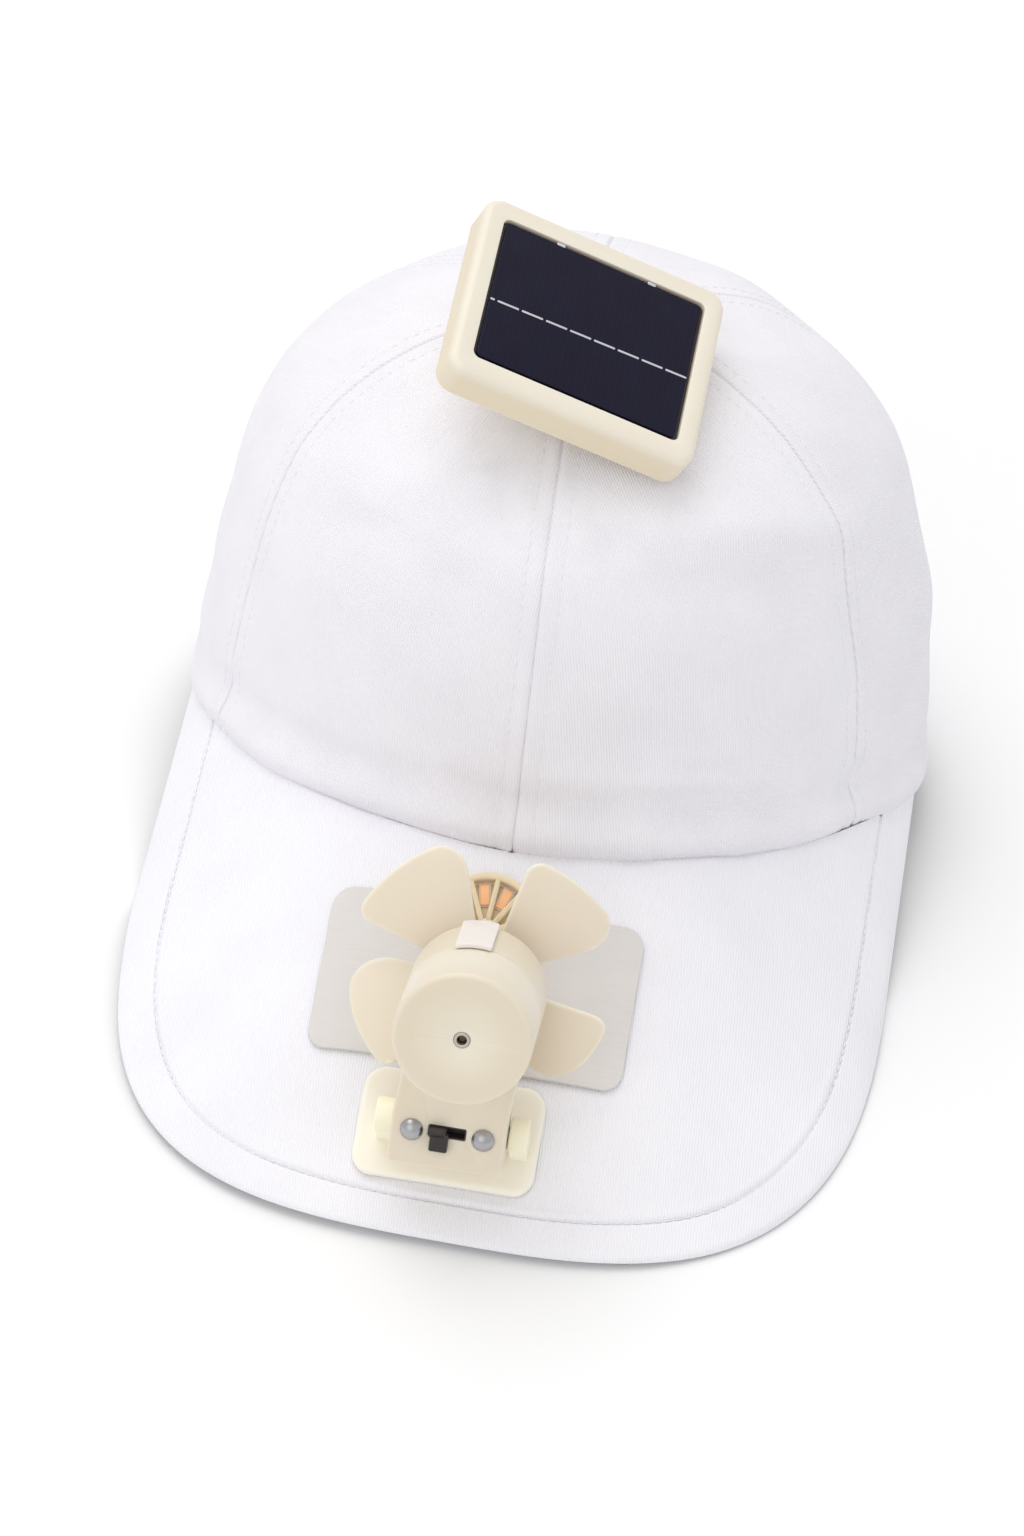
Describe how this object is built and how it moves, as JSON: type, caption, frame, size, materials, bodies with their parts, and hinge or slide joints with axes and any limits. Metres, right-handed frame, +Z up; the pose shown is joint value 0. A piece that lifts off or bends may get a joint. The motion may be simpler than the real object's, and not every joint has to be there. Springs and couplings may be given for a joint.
{
  "type": "cap with fan",
  "caption": "Soft peaked cap with a hinged fan head on its brim and a light cell panel above its crown.",
  "frame": {"origin": "on the surface that the cap lies on, under the middle of the part's box", "axes": "+Z up; the brim and the fan look toward -Y; +X is the wearer's left"},
  "size_m": [0.1768, 0.2591, 0.1698],
  "materials": {
    "cloth": "white cotton twill",
    "cream": "cream moulded plastic",
    "blade_cream": "cream plastic, slightly clear",
    "pale": "pale pink-white strip",
    "amber": "amber plastic",
    "copper": "orange metal strip",
    "steel": "bright steel",
    "black": "black plastic",
    "plate": "thin light grey sheet",
    "cell": "dark cell under a clear cover"
  },
  "bodies": {
    "cap": {"crown_panel_front_left": "cloth", "crown_panel_side_left": "cloth", "crown_panel_back_left": "cloth", "crown_panel_back_right": "cloth", "crown_panel_side_right": "cloth", "crown_panel_front_right": "cloth", "brim": "cloth", "brim_plate": "plate", "brim_vent": "cream", "vent_tray": "amber", "vent_strip_left": "copper", "vent_strip_right": "copper", "fan_base": "cream", "hinge_pin": "steel", "solar_frame": "cream", "solar_cell": "cell", "panel_post": "cream"},
    "fan_head": {"fan_arm": "cream", "motor_cover": "cream", "cover_latch": "pale", "motor": "steel", "arm_screw_left": "steel", "arm_screw_right": "steel", "switch_body": "black"},
    "rotor": {"motor_shaft": "steel", "propeller": "blade_cream"},
    "slider": {"switch_slider": "black"}
  },
  "joints": [
    {"name": "fan_tilt", "type": "hinge", "parent": "cap", "child": "fan_head", "pos_m": [-0.0013, -0.11037, 0.02451], "axis": [1, 0, 0], "range_deg": [-2, 35]},
    {"name": "fan_spin", "type": "hinge", "parent": "fan_head", "child": "rotor", "pos_m": [0.0003, -0.09936, 0.05306], "axis": [0, -0.933, 0.36], "continuous": true},
    {"name": "switch_slide", "type": "slide", "parent": "fan_head", "child": "slider", "axis": [1, 0, 0], "range_m": [0, 0.0038]}
  ]
}
